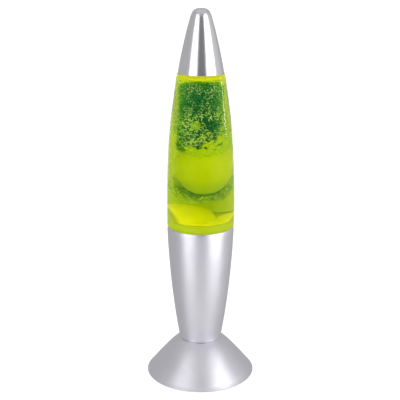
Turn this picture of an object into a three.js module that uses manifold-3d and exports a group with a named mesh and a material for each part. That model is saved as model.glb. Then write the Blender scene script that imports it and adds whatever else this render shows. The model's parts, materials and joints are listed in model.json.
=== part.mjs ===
// A rocket-shaped lava lamp: a spun aluminium foot and cup, a bulb in a threaded lampholder,
// a tapered glass bottle of liquid and wax that lifts out of the cup, and a cap that lifts off the bottle.
// Millimetres, +Z up. The origin is on the table, at the lamp's axis. The cord inlet is at the back, towards +Y.
import * as THREE from "three";
import { mergeVertices } from "three/addons/utils/BufferGeometryUtils.js";
import Module from "manifold-3d";

const wasm = await Module();
wasm.setup();

// ---- Driving dimensions ----
const HEIGHT = 370; // top of the cap
const CAP_Z = 309.5; // rim of the cap
const LIP_Z = 157.7; // lip of the cup
const BOTTLE_Z = 124; // heel of the bottle
const CUP_Z = 38; // underside of the cup
const RIM_Z = 0.8; // lowest metal of the foot
const SHEET = 1; // thickness of the spun aluminium
const GLASS = 3; // wall of the bottle
const GAP = 0.3; // clearance between neighbours

const HOLDER_R = 14; // threaded skirt of the lampholder
const HOLDER_HOLE_R = HOLDER_R + 0.6; // holes in the foot, cup and bracket for the skirt
const BULB_Z = 41; // lowest point of the bulb, its centre contact
const THREAD_R = 6.95; // outside of the bulb's E14 screw shell

const POOL_Z = 165.5; // surface of the molten wax
const FILL_Z = 304.5; // surface of the liquid
const TOP_LAYER_Z = 310.5; // top of the wax floating on the liquid
const MOUND = { at: [-13, 0, 158], radii: [25, 22, 22] };
const HUMP = { at: [22, 2, 158], radii: [10, 14, 11] };
const BLOB = { at: [2.5, 0, 192], radius: 22, height: 46.5 }; // its lowest point, and its size
const BEAD = { at: [-4, -8, 260.5], radii: [4, 4, 4] };
const COIL = { ring: 19, radius: 3.2, wire: 0.5, z: 131.5, turns: 14 };

const COVER_Z = 1.25; // underside of the bottom cover
const SCREW_X = 27; // cover screws, left and right of the axis
const PAD_AT = 29.7; // rubber pads, in x and in y
const INLET = { radius: 46.1, z: 12, tilt: 40, hole: 5.6 }; // cord inlet on the foot's back wall

const SHELL_SIDES = 24;
const HOLDER_SIDES = 16;
const SMALL_SIDES = 12;

// ---- Materials ----
const finish = (color, roughness, metalness, extra = {}) =>
  new THREE.MeshStandardMaterial({ color, roughness, metalness, ...extra });
const silver = finish(0xc4c4ca, 0.35, 0.9);
const polished = finish(0xd2d2d6, 0.16, 1);
const steel = finish(0x9a9ca0, 0.4, 1);
const brass = finish(0xb8963e, 0.3, 1);
const nickel = finish(0xb9b6ae, 0.25, 1);
const blackPlastic = finish(0x1b1b1d, 0.55, 0);
const phenolic = finish(0x2a1d16, 0.4, 0);
const ceramic = finish(0xe8e4da, 0.5, 0);
const rubber = finish(0x141414, 0.85, 0);
const clearGlass = finish(0xdff0a0, 0.05, 0, { transparent: true, opacity: 0.35 });
const bulbGlass = finish(0xe6e6e6, 0.1, 0, { transparent: true, opacity: 0.5 });
const liquidGreen = finish(0x2f7a2c, 0.05, 0, { transparent: true, opacity: 0.5 });
const waxYellow = finish(0xd6d800, 0.45, 0);

// ---- Outlines: lists of [radius, height] ----

// A smooth line through points, as steps short lengths.
const smooth = (points, steps) =>
  new THREE.SplineCurve(points.map(([r, z]) => new THREE.Vector2(r, z))).getPoints(steps).map((p) => [p.x, p.y]);

// Part of a circle, in degrees, as steps short lengths.
const arc = (r, z, radius, from, to, steps) =>
  Array.from({ length: steps + 1 }, (_, i) => {
    const angle = THREE.MathUtils.degToRad(from + ((to - from) * i) / steps);
    return [r + radius * Math.cos(angle), z + radius * Math.sin(angle)];
  });

// The line moved to its left by distance, which is towards the axis for a line that runs upwards.
const moved = (line, distance) =>
  line.map(([r, z], i) => {
    const [r0, z0] = line[Math.max(i - 1, 0)];
    const [r1, z1] = line[Math.min(i + 1, line.length - 1)];
    const length = Math.hypot(r1 - r0, z1 - z0);
    const shifted = [r - (distance * (z1 - z0)) / length, z + (distance * (r1 - r0)) / length];
    return r === 0 ? [0, z + distance * Math.sign(r1 - r0)] : shifted;
  });

const lipOuter = [33, LIP_Z - 0.9];
const footSide = smooth(
  [[54.5, 1.9], [53.1, 3.4], [49.9, 7.4], [41.5, 17.6], [31.9, 28.5], [26, 34.3], [22.6, 37]],
  6,
);
const cupSide = smooth([[21.3, CUP_Z + 2], [24.6, 60], [28.45, 90], [31.2, 120], [32.6, 142], lipOuter], 5);
const glassSide = smooth(
  [[33.9, 160.5], [33.95, 172], [33.8, 188], [33, 212], [31.65, 240], [29.3, 266], [26, 290], [23.7, 306.5]],
  7,
);
const capSide = smooth(
  [[22.2, CAP_Z], [20.7, 318], [18.15, 330.5], [15.4, 342.5], [12.9, 352.5], [10.9, 359.5], [9.5, 364],
    [7.2, 368], [4, 369.65], [0, HEIGHT]],
  9,
);

// ---- Solids ----

// The outline turned about Z, facing outwards whichever way the outline runs.
function turned(outline, sides) {
  const points = outline.map(([r, z]) => new THREE.Vector2(r, z));
  if (outline[0][0] > 0 || outline.at(-1)[0] > 0) points.push(points[0].clone());
  if (THREE.ShapeUtils.area(points) < 0) points.reverse();
  return new THREE.LatheGeometry(points, sides).rotateX(Math.PI / 2);
}

function solidOf(geometry) {
  const bare = geometry.index ? geometry.toNonIndexed() : geometry.clone();
  bare.deleteAttribute("normal");
  bare.deleteAttribute("uv");
  const merged = mergeVertices(bare, 1e-4);
  return new wasm.Manifold(
    new wasm.Mesh({
      numProp: 3,
      vertProperties: merged.attributes.position.array,
      triVerts: new Uint32Array(merged.index.array),
    }),
  );
}

function geometryOf(solid) {
  const mesh = solid.getMesh();
  return new THREE.BufferGeometry()
    .setAttribute("position", new THREE.BufferAttribute(mesh.vertProperties, 3))
    .setIndex(new THREE.BufferAttribute(mesh.triVerts, 1));
}

const subtract = (geometry, ...tools) =>
  geometryOf(tools.reduce((left, tool) => left.subtract(solidOf(tool)), solidOf(geometry)));
const join = (geometry, ...others) =>
  geometryOf(others.reduce((left, other) => left.add(solidOf(other)), solidOf(geometry)));
const common = (geometry, other) => geometryOf(solidOf(geometry).intersect(solidOf(other)));

const box = (width, depth, height, x, y, z) =>
  new THREE.BoxGeometry(width, depth, height).translate(x, y, z + height / 2);
const rod = (radius, from, to, x = 0, y = 0, sides = SMALL_SIDES) =>
  turned([[0, from], [radius, from], [radius, to], [0, to]], sides).translate(x, y, 0);
const slab = (from, to) => box(100, 100, to - from, 0, 0, from);

// An ellipsoid about its own centre, grown all round by extra.
const egg = ([x, y, z], extra = 0, around = 20, up = 12) =>
  new THREE.SphereGeometry(1, around, up).rotateX(Math.PI / 2).scale(x + extra, y + extra, z + extra);

// ---- The assembly ----
const lamp = new THREE.Group();

function part(parent, name, geometry, material, [x, y, z] = [0, 0, 0]) {
  const mesh = new THREE.Mesh(geometry, material);
  mesh.name = name;
  mesh.position.set(x, y, z);
  parent.add(mesh);
  return mesh;
}

function section() {
  const group = new THREE.Group();
  lamp.add(group);
  return group;
}

// ---- Foot and cup ----
const base = section();
const atInlet = (geometry) =>
  geometry.rotateX(THREE.MathUtils.degToRad(INLET.tilt - 90)).translate(0, INLET.radius, INLET.z);

const footInside = moved(footSide, SHEET);
const footTop = CUP_Z - 0.2;
const footOutline = [
  [53.2, RIM_Z + 0.3], [53.9, RIM_Z], [54.4, RIM_Z + 0.4], ...footSide, [21.6, footTop], [HOLDER_HOLE_R, footTop],
  [HOLDER_HOLE_R, footTop - SHEET], [21.3, footTop - SHEET], ...footInside.reverse(),
];
part(base, "base_foot", subtract(turned(footOutline, SHELL_SIDES), atInlet(rod(INLET.hole, -6, 6))), silver);

const cupInside = moved(cupSide, SHEET).reverse();
const cupOutline = [
  [HOLDER_HOLE_R, CUP_Z], [20.1, CUP_Z], [21, CUP_Z + 0.6], ...cupSide, [32.6, LIP_Z], [31.6, LIP_Z],
  [31.2, LIP_Z - 0.6], [31.2, LIP_Z - 3], ...cupInside.slice(1), [19.6, CUP_Z + SHEET],
  [HOLDER_HOLE_R, CUP_Z + SHEET],
];
part(base, "base_cup", turned(cupOutline, SHELL_SIDES), silver);

// The bracket hangs from the foot's top plate and carries the cover screws on its two feet.
const BRACKET = { z: 35.4, thick: 1.2, disc: 20.5, leg: 19.2, wide: 12, tab: 4.4 };
const bracketDisc = turned(
  [[HOLDER_HOLE_R, BRACKET.z], [BRACKET.disc, BRACKET.z], [BRACKET.disc, BRACKET.z + BRACKET.thick],
    [HOLDER_HOLE_R, BRACKET.z + BRACKET.thick]],
  HOLDER_SIDES,
);
const bracketSide = (side) => [
  box(BRACKET.thick, BRACKET.wide, BRACKET.z + BRACKET.thick - BRACKET.tab, side * BRACKET.leg, 0, BRACKET.tab),
  box(13, BRACKET.wide, BRACKET.thick, side * (BRACKET.leg + 5.9), 0, BRACKET.tab),
];
part(
  base,
  "mounting_bracket",
  subtract(
    join(bracketDisc, ...bracketSide(1), ...bracketSide(-1)),
    rod(1.8, 0, 10, SCREW_X),
    rod(1.8, 0, 10, -SCREW_X),
  ),
  steel,
);

// Ring nuts on the lampholder's thread, with grip teeth round the edge.
function ringNut(height) {
  const TEETH = 12;
  const edge = new THREE.Shape(
    Array.from({ length: TEETH * 4 }, (_, i) => {
      const radius = i % 4 < 2 ? 17.4 : 16.6;
      const angle = (i / (TEETH * 4)) * Math.PI * 2;
      return new THREE.Vector2(radius * Math.cos(angle), radius * Math.sin(angle));
    }),
  );
  edge.holes.push(new THREE.Path().absarc(0, 0, HOLDER_R + GAP, 0, Math.PI * 2));
  return new THREE.ExtrudeGeometry(edge, { depth: height, bevelEnabled: false, curveSegments: 12 });
}
part(base, "ring_nut_upper", ringNut(4), blackPlastic, [0, 0, CUP_Z + SHEET + GAP]);
part(base, "ring_nut_lower", ringNut(4), blackPlastic, [0, 0, BRACKET.z - GAP - 4]);

// ---- Lampholder ----
const SKIRT = { from: 26, to: 58, inner: 12.7 };
part(
  base,
  "lampholder_skirt",
  turned(
    [[SKIRT.inner, SKIRT.from], [HOLDER_R, SKIRT.from], [HOLDER_R, SKIRT.to - 0.5], [HOLDER_R - 0.5, SKIRT.to],
      [SKIRT.inner, SKIRT.to]],
    HOLDER_SIDES,
  ),
  phenolic,
);
const domeOutline = [
  [4.3, 13], [6.2, 13], [6.2, 14.8], [8, 15.2], ...arc(9, 20.2, 5, -70, 0, 3), [HOLDER_R, SKIRT.from - GAP],
  [12.5, SKIRT.from - GAP], [12.5, 20.6], [11.4, 18.2], [7.8, 16.8], [4.3, 16.6],
];
part(base, "lampholder_dome", turned(domeOutline, HOLDER_SIDES), phenolic);

const CORE = { from: 30, to: 53.5, outer: 12.3, bore: 8.2, floor: 38.5, terminal: 8 };
part(
  base,
  "lampholder_core",
  subtract(
    turned(
      [[2.2, CORE.from], [CORE.outer, CORE.from], [CORE.outer, CORE.to], [CORE.bore, CORE.to],
        [CORE.bore, CORE.floor], [2.2, CORE.floor]],
      HOLDER_SIDES,
    ),
    rod(1.5, CORE.from - 1, 36, 0, CORE.terminal),
    rod(1.5, CORE.from - 1, 36, 0, -CORE.terminal),
  ),
  ceramic,
);
part(
  base,
  "lampholder_thread_sleeve",
  turned([[7.3, 43], [7.85, 43], [7.85, 54.2], [8.6, 55], [8.2, 55.3], [7.3, 54.5]], HOLDER_SIDES),
  brass,
);
const leaf = new THREE.Shape(
  [[-2, 38.8], [4.6, 38.8], [5.7, 39.7], [4.6, 40.6], [-2.4, 40.6], [-2.4, 40.2], [4.4, 40.2], [5, 39.7], [4.4, 39.2],
    [-2, 39.2]].map(([x, z]) => new THREE.Vector2(x, z)),
);
const leafSpring = new THREE.ExtrudeGeometry(leaf, { depth: 4, bevelEnabled: false })
  .rotateX(Math.PI / 2)
  .translate(0, 2, 0);
part(base, "lampholder_centre_contact", join(leafSpring, rod(1.6, 28.8, 39)), brass);

const terminalScrew = () =>
  turned([[0, 27.4], [2.4, 27.4], [2.4, 29.6], [1.2, 29.6], [1.2, 35], [0, 35.4]], SMALL_SIDES);
part(base, "terminal_screw_1", terminalScrew(), steel, [0, CORE.terminal, 0]);
part(base, "terminal_screw_2", terminalScrew(), steel, [0, -CORE.terminal, 0]);
part(
  base,
  "cord_gland",
  turned([[3.3, 10.6], [6.4, 10.6], [6.4, 12.7], [3.95, 12.7], [3.95, 17.5], [3.3, 17.5]], HOLDER_SIDES),
  blackPlastic,
);

// ---- Underside ----
const COVER_R = 51.6;
const COVER_TOP = COVER_Z + 1.5;
const coverDisc = turned(
  [[0, COVER_Z], [COVER_R - 0.5, COVER_Z], [COVER_R, COVER_Z + 0.5], [COVER_R, COVER_TOP - 0.3],
    [COVER_R - 2, COVER_TOP + 2], [COVER_R - 3.4, COVER_TOP + 2], [COVER_R - 3.4, COVER_TOP], [0, COVER_TOP]],
  SHELL_SIDES,
);
const screwHole = (x) =>
  turned(
    [[0, COVER_Z - 1], [3.4, COVER_Z - 1], [3.4, COVER_Z + 0.3], [1.8, COVER_Z + 1.9], [1.8, 6], [0, 6]],
    SMALL_SIDES,
  ).translate(x, 0, 0);
part(
  base,
  "bottom_cover",
  subtract(
    join(coverDisc, rod(4.2, COVER_TOP - 0.5, 4.1, SCREW_X), rod(4.2, COVER_TOP - 0.5, 4.1, -SCREW_X)),
    screwHole(SCREW_X),
    screwHole(-SCREW_X),
  ),
  blackPlastic,
);
const coverScrew = () =>
  turned(
    [[0, COVER_Z + 0.2], [3, COVER_Z + 0.2], [1.4, COVER_Z + 1.8], [1.4, 8.6], [0, 9.4]],
    SMALL_SIDES,
  );
part(base, "cover_screw_1", coverScrew(), steel, [SCREW_X, 0, 0]);
part(base, "cover_screw_2", coverScrew(), steel, [-SCREW_X, 0, 0]);

const pad = () => turned([[0, 0], [5.5, 0], [6, 0.4], [6, COVER_Z - 0.1], [0, COVER_Z - 0.1]], SMALL_SIDES);
[[1, 1], [-1, 1], [-1, -1], [1, -1]].forEach(([x, y], i) =>
  part(base, `rubber_pad_${i + 1}`, pad(), rubber, [x * PAD_AT, y * PAD_AT, 0]),
);

// The grommet's groove holds the edge of the hole in the foot.
const grommetOutline = [
  [4, -3], [6.7, -3], [7, -1.8], [5.3, -1.8], [5.3, 0.3], [7.4, 0.3], [7.4, 0.9], [6.2, 1.7], [4, 1.7],
];
part(base, "cord_grommet", atInlet(turned(grommetOutline, HOLDER_SIDES)), rubber);

// ---- Bulb: a small reflector lamp with an E14 screw base ----
const bulb = section();
part(
  bulb,
  "bulb_centre_contact",
  turned([[0, BULB_Z], [1.6, BULB_Z + 0.2], [2.4, BULB_Z + 0.9], [0, BULB_Z + 0.9]], HOLDER_SIDES),
  nickel,
);
part(
  bulb,
  "bulb_insulator",
  turned([[0, BULB_Z + 1.2], [3.3, BULB_Z + 1.2], [6.1, BULB_Z + 3], [0, BULB_Z + 3]], HOLDER_SIDES),
  blackPlastic,
);
part(
  bulb,
  "bulb_screw_shell",
  turned(
    [[5, 44.3], [THREAD_R, 44.3], [THREAD_R, 56], [8, 59], [8, 60], [7.6, 60], [7.6, 59.2], [6.5, 56.2], [6.5, 44.7],
      [5, 44.7]],
    HOLDER_SIDES,
  ),
  nickel,
);
const bulbSide = smooth([[6.1, 57], [6.9, 63], [9.2, 71], [14.2, 81], [18.6, 91], [19.4, 96.5]], 5);
const bulbFace = smooth([[18.4, 101], [13.5, 105], [7, 107.3], [0, 108]], 4);
const bulbOuter = [...bulbSide, ...bulbFace];
part(
  bulb,
  "bulb_envelope",
  turned([...moved(bulbOuter, 0.8).reverse(), ...bulbOuter], SHELL_SIDES),
  bulbGlass,
);
part(bulb, "bulb_stem", turned([[0, 57.2], [4.6, 57.2], [2.2, 61], [1.4, 78], [0, 78]], SMALL_SIDES), bulbGlass);

const wire = (points, radius, steps) =>
  new THREE.ExtrudeGeometry(new THREE.Shape().absarc(0, 0, radius, 0, Math.PI * 2), {
    steps,
    curveSegments: 3,
    bevelEnabled: false,
    extrudePath: new THREE.CatmullRomCurve3(points.map((p) => new THREE.Vector3(...p))),
  });
[1, -1].forEach((side, i) =>
  part(
    bulb,
    `bulb_lead_wire_${i + 1}`,
    wire([[side * 2.1, 0, 74], [side * 3, 0, 79], [side * 6, 0, 88]], 0.3, 3),
    nickel,
  ),
);
part(bulb, "bulb_filament", wire([[-6.2, 0, 88.8], [0, 1.2, 89.2], [6.2, 0, 88.8]], 0.35, 6), steel);

// ---- Bottle ----
const bottle = section();
const bottleOutside = [
  [0, BOTTLE_Z + 1.2], [20, BOTTLE_Z + 0.6], ...arc(24.8, BOTTLE_Z + 4, 4, -90, 0, 2), [30.3, 150], [30.7, 157.6],
  [32.9, LIP_Z + GAP], [33.7, LIP_Z + 1], ...glassSide, [23.3, 308.3], [22.3, 309], [20.9, CAP_Z - GAP],
  [20.1, 310.4], ...smooth([[18.7, 316], [15.6, 321], [12.4, 324.6]], 3), [12.2, 327.4], [13.3, 328.5],
  [13.3, 333.3], [12.5, 334.7], [11.3, 335],
];
const bottleInside = [
  [0, BOTTLE_Z + 1.2 + GLASS - 0.6], [21.5, BOTTLE_Z + GLASS + 0.2], [24.9, 128.6], [26, 132], [27.3, 150],
  [28.6, 155.5], ...moved(glassSide, GLASS).slice(0, -1), [19.4, 307.2], [17.6, 310.5], [15.9, 314.5], [13, 318.6],
  [9.7, 322.2], [8.8, 325],
];
part(
  bottle,
  "glass_bottle",
  turned([...bottleOutside, [9.4, 335], [8.8, 334], ...bottleInside.toReversed()], SHELL_SIDES),
  clearGlass,
);
part(bottle, "crown_liner", turned([[0, 335.15], [12.4, 335.15], [12.4, 335.7], [0, 335.7]], HOLDER_SIDES), rubber);
const crownOutside = [[15.9, 328.6], [14.3, 331.6], [14, 335.4], [12.9, 336.4], [0, 336.4]];
part(
  bottle,
  "crown_cap",
  turned([...crownOutside, [0, 335.9], [12.7, 335.9], [13.55, 335.1], [13.85, 331.6], [15.4, 328.5]], HOLDER_SIDES),
  nickel,
);

// What the bottle holds. The inside of the bottle, less a small clearance, is shared out by height.
const inside = turned([...moved(bottleInside, GAP + 0.05), [0, 325]], SHELL_SIDES);
const placed = (geometry, at) => geometry.translate(...at);
const mound = (extra) => join(placed(egg(MOUND.radii, extra), MOUND.at), placed(egg(HUMP.radii, extra), HUMP.at));
const coilGroove = new THREE.TorusGeometry(COIL.ring, COIL.radius + COIL.wire + 0.45, 7, 20).translate(0, 0, COIL.z);
const pool = common(inside, join(slab(100, POOL_Z), mound(0)));
part(bottle, "wax_pool", subtract(pool, coilGroove), waxYellow);
part(bottle, "wax_top_layer", common(inside, slab(FILL_Z, TOP_LAYER_Z)), waxYellow);

// The blob: a round bottom, full shoulders and a nearly flat top, grown all round by extra.
const blobSide = smooth(
  [[0, 0], [9, 1.9], [15.6, 7.4], [20, 16.5], [BLOB.radius, 27.5], [21.3, 36], [17.5, 42.3], [9, 45.6], [0, BLOB.height]],
  13,
);
const blob = (extra) => turned(moved(blobSide, -extra), SHELL_SIDES);

// A fine channel joins the spaces for the blob and the bead to the liquid's surface.
const channel = rod(1.2, BLOB.at[2], FILL_Z, BEAD.at[0], BEAD.at[1], 6);
part(
  bottle,
  "lava_liquid",
  subtract(
    common(inside, slab(POOL_Z + GAP, FILL_Z - GAP)),
    mound(0.4),
    placed(blob(0.4), BLOB.at),
    placed(egg(BEAD.radii, 0.4, 10, 8), BEAD.at),
    channel,
  ),
  liquidGreen,
);

// A wire spring bent into a ring, which lies at the bottom of the bottle under the wax.
class RingSpring extends THREE.Curve {
  getPoint(t, target = new THREE.Vector3()) {
    const around = t * Math.PI * 2 * 0.97;
    const turn = t * Math.PI * 2 * COIL.turns;
    const radius = COIL.ring + COIL.radius * Math.cos(turn);
    return target.set(radius * Math.cos(around), radius * Math.sin(around), COIL.radius * Math.sin(turn));
  }
}
const wireSection = new THREE.Shape(
  [[1, 0], [0, 1], [-1, 0], [0, -1]].map(([x, y]) => new THREE.Vector2(x * COIL.wire, y * COIL.wire)),
);
part(
  bottle,
  "wax_coil",
  new THREE.ExtrudeGeometry(wireSection, {
    steps: COIL.turns * 6,
    bevelEnabled: false,
    extrudePath: new RingSpring(),
  }),
  steel,
  [0, 0, COIL.z],
);

// ---- Wax that rises and sinks ----
const wax = section();
part(wax, "wax_blob", blob(0), waxYellow, BLOB.at);
part(wax, "wax_bead", egg(BEAD.radii, 0, 10, 8), waxYellow, BEAD.at);

// ---- Cap ----
const cap = section();
part(cap, "cap_shell", turned([...moved(capSide, SHEET).reverse(), ...capSide], SHELL_SIDES), polished);

export default lamp;
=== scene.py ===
"""A lava lamp: fine surfaces, glass, liquid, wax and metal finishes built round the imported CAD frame.

Everything is in metres in the CAD's own frame, and sizes come from the CAD nodes. The order is: camera and
light, node trees, kinds of material, outlines, mesh tools, finishes, then the pieces.
"""

import json
import math
import random

import bmesh
import bpy
from mathutils import Matrix, Vector, noise

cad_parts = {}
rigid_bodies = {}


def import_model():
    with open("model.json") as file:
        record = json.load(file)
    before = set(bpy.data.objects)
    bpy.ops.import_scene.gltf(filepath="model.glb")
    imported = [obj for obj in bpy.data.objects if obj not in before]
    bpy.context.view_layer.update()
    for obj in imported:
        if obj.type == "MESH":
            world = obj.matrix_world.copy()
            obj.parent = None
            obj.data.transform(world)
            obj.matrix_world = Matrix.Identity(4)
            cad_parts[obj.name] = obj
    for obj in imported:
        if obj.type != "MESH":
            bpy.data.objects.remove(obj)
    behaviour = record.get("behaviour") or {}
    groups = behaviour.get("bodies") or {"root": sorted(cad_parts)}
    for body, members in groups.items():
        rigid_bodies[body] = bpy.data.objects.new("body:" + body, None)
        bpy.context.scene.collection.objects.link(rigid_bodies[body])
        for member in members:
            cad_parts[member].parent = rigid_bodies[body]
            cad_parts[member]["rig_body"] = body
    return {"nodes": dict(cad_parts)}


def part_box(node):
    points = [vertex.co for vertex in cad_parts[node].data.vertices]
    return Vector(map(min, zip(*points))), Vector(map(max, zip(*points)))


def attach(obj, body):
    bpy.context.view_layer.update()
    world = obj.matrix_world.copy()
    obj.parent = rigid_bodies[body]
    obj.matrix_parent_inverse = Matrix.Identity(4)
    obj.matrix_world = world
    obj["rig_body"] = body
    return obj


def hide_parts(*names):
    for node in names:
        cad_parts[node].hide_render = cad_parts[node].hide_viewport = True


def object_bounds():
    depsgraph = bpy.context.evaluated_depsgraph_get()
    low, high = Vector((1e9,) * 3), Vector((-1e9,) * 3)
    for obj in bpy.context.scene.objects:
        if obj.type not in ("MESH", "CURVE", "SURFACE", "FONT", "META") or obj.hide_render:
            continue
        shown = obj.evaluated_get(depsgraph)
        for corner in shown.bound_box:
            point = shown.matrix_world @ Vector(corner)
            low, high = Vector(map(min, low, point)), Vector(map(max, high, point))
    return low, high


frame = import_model()
CAD_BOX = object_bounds()

MM = 0.001
TURN = 2 * math.pi
HEIGHT = CAD_BOX[1].z
FLOOR_Z = CAD_BOX[0].z

# ---- Camera, light and stage ----

CAMERA_DISTANCE = 2.4131 * HEIGHT  # from the lamp's axis
CAMERA_HEIGHT = 1.2116 * HEIGHT
CAMERA_ASIDE = -1.25 * MM
CAMERA_DOWN = 16.54  # degrees
CAMERA_ROLL = -0.13  # degrees
CAMERA_LENS = 84.75  # focal length in millimetres

ROOM_SIDES = 0.46  # what the metal mirrors at the sides and behind,
ROOM_RIGHT = 0.62  # at the right,
ROOM_FRONT = 0.19  # on the camera's side,
ROOM_TOP = 0.58  # above,
ROOM_BELOW = 0.77  # below in front,
ROOM_BELOW_BACK = 0.42  # and below behind

WHITE = (1, 1, 1, 1)
FLOOR_RADIUS = 14
FLOOR_GLOW = 0.72


def make_camera():
    data = bpy.data.cameras.new("camera")
    data.lens = CAMERA_LENS
    camera = bpy.data.objects.new("camera", data)
    camera.location = (CAMERA_ASIDE, -CAMERA_DISTANCE, CAMERA_HEIGHT)
    camera.rotation_euler = (math.radians(90 - CAMERA_DOWN), math.radians(CAMERA_ROLL), 0)
    bpy.context.scene.collection.objects.link(camera)
    bpy.context.scene.camera = camera


def softbox(name, azimuth, distance, width, height, centre_z, radiance):
    """An upright light panel that faces the lamp. Azimuth 0 is on the camera's side and 90 to its right."""
    data = bpy.data.lights.new(name, "AREA")
    data.shape = "RECTANGLE"
    data.size = width
    data.size_y = height
    data.energy = radiance * math.pi * width * height
    light = bpy.data.objects.new(name, data)
    angle = math.radians(azimuth)
    light.location = (distance * math.sin(angle), -distance * math.cos(angle), centre_z)
    light.rotation_euler = (math.radians(90), 0, angle)
    light.visible_camera = False
    bpy.context.scene.collection.objects.link(light)
    return light


def make_world():
    """White to look at and to look through. What mirrors it sees a grey room with a dark front."""
    world = bpy.data.worlds.new("studio")
    world.use_nodes = True
    tree = Tree(world.node_tree)
    direction = tree.node("ShaderNodeTexCoord").outputs["Generated"]
    parts = tree.node("ShaderNodeSeparateXYZ", Vector=direction)
    aside, depth, rise = (parts.outputs[axis] for axis in "XYZ")
    around = tree.ramped(depth, (-0.98, -0.3), (ROOM_FRONT, ROOM_SIDES))
    above = tree.ramped(rise, (0.3, 0.85), (0.0, ROOM_TOP))
    share_below = tree.ramped(rise, (-0.5, -0.1), (1.0, 0.0))
    below = tree.ramped(depth, (-0.7, 0.2), (ROOM_BELOW, ROOM_BELOW_BACK))
    below = tree.maths("MULTIPLY", share_below, below)
    around = tree.maths("MAXIMUM", around, tree.ramped(aside, (0.3, 1.0), (0.0, ROOM_RIGHT)))
    room = tree.maths("MAXIMUM", around, tree.maths("MAXIMUM", above, below))
    path = tree.node("ShaderNodeLightPath")
    seen = tree.maths("MAXIMUM", path.outputs["Is Camera Ray"], path.outputs["Is Transmission Ray"])
    strength = tree.maths("MAXIMUM", room, seen)
    background = tree.node("ShaderNodeBackground", Color=WHITE, Strength=strength)
    tree.link(background.outputs[0], tree.node("ShaderNodeOutputWorld").inputs["Surface"])
    bpy.context.scene.world = world


def make_floor():
    bpy.ops.mesh.primitive_circle_add(
        vertices=96, radius=FLOOR_RADIUS, fill_type="NGON", location=(0, 0, FLOOR_Z)
    )
    floor = bpy.context.object
    floor.name = "floor"
    floor.visible_glossy = False
    glow = {"Emission Color": WHITE, "Emission Strength": FLOOR_GLOW}
    floor.data.materials.append(
        finish("pale_floor", (0.86, 0.86, 0.86), (0.84, 0.84, 0.84), 0.7, spot=0.05, bump=0.0, **glow)
    )


def light_bottle(bottle):
    """Two lights that only the glass mirrors: a narrow strip that draws a thin line down it, and a white
    panel behind that keeps its edges pale."""
    only = bpy.data.collections.new("lights_of_the_glass")
    only.objects.link(bottle)
    strip = softbox("strip_light", 102, distance=1, width=0.09, height=0.4, centre_z=0.34, radiance=12)
    panel = softbox("back_panel", 180, distance=1.2, width=1.6, height=1.4, centre_z=0.3, radiance=1)
    for light in (strip, panel):
        light.light_linking.receiver_collection = only
        light.visible_transmission = False
        light.visible_diffuse = False


def make_stage():
    scene = bpy.context.scene
    scene.view_settings.view_transform = "Standard"
    scene.cycles.transmission_bounces = 16
    scene.cycles.max_bounces = 20
    scene.cycles.sample_clamp_indirect = 4
    make_camera()
    make_world()
    make_floor()
    softbox("left_softbox", -40, distance=1.5, width=1.1, height=2.15, centre_z=0.52, radiance=1.4)
    softbox("right_softbox", 53, distance=1.5, width=1.4, height=2.15, centre_z=0.52, radiance=1.6)


# ---- Node trees ----


class Tree:
    """Short calls for a shader's node tree."""

    def __init__(self, tree, keep=False):
        self.tree = tree
        if not keep:
            tree.nodes.clear()

    def named(self, kind):
        """The tree's one node of a kind."""
        return next(node for node in self.tree.nodes if node.bl_idname == kind)

    def link(self, output, socket):
        self.tree.links.new(output, socket)

    def node(self, kind, properties=(), **sockets):
        """A new node. A socket is given a value or another node's output."""
        made = self.tree.nodes.new(kind)
        for name, value in dict(properties).items():
            setattr(made, name, value)
        for name, value in sockets.items():
            self.put(value, made.inputs[name.replace("_", " ")])
        return made

    def put(self, value, socket):
        if isinstance(value, bpy.types.NodeSocket):
            self.link(value, socket)
        else:
            socket.default_value = value

    def maths(self, operation, *values):
        made = self.node("ShaderNodeMath", {"operation": operation})
        for value, socket in zip(values, made.inputs):
            self.put(value, socket)
        return made.outputs[0]

    def ramped(self, value, span, result):
        """value mapped from span to result, smoothly."""
        made = self.node("ShaderNodeMapRange", {"interpolation_type": "SMOOTHSTEP"}, Value=value)
        for name, number in zip(("From Min", "From Max", "To Min", "To Max"), (*span, *result)):
            made.inputs[name].default_value = number
        return made.outputs["Result"]

    def noise(self, vector, size, detail=3.0):
        """Noise whose features are about size metres across."""
        made = self.node("ShaderNodeTexNoise", Vector=vector)
        made.inputs["Scale"].default_value = 1 / size
        made.inputs["Detail"].default_value = detail
        return made.outputs["Fac"]

    def mixed(self, factor, first, second):
        """The mix of two colours, each three numbers or another node's output."""
        made = self.node("ShaderNodeMix", {"data_type": "RGBA"})
        self.put(factor, made.inputs["Factor"])
        for colour, name in ((first, "A"), (second, "B")):
            fixed = not isinstance(colour, bpy.types.NodeSocket)
            self.put((*colour, 1) if fixed else colour, made.inputs[name])
        return made.outputs["Result"]


def turned_coordinates(tree, position):
    """Coordinates that don't change round the axis, so that noise on them makes fine turned rings."""
    parts = tree.node("ShaderNodeSeparateXYZ", Vector=position)
    squares = [tree.maths("POWER", parts.outputs[axis], 2.0) for axis in ("X", "Y")]
    radius = tree.maths("SQRT", tree.maths("ADD", *squares))
    return tree.node("ShaderNodeCombineXYZ", X=radius, Z=parts.outputs["Z"]).outputs[0]


# ---- Kinds of material ----

WANDER = (0.3, 0.7)  # the part of a noise's range over which a colour or a roughness changes


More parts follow.
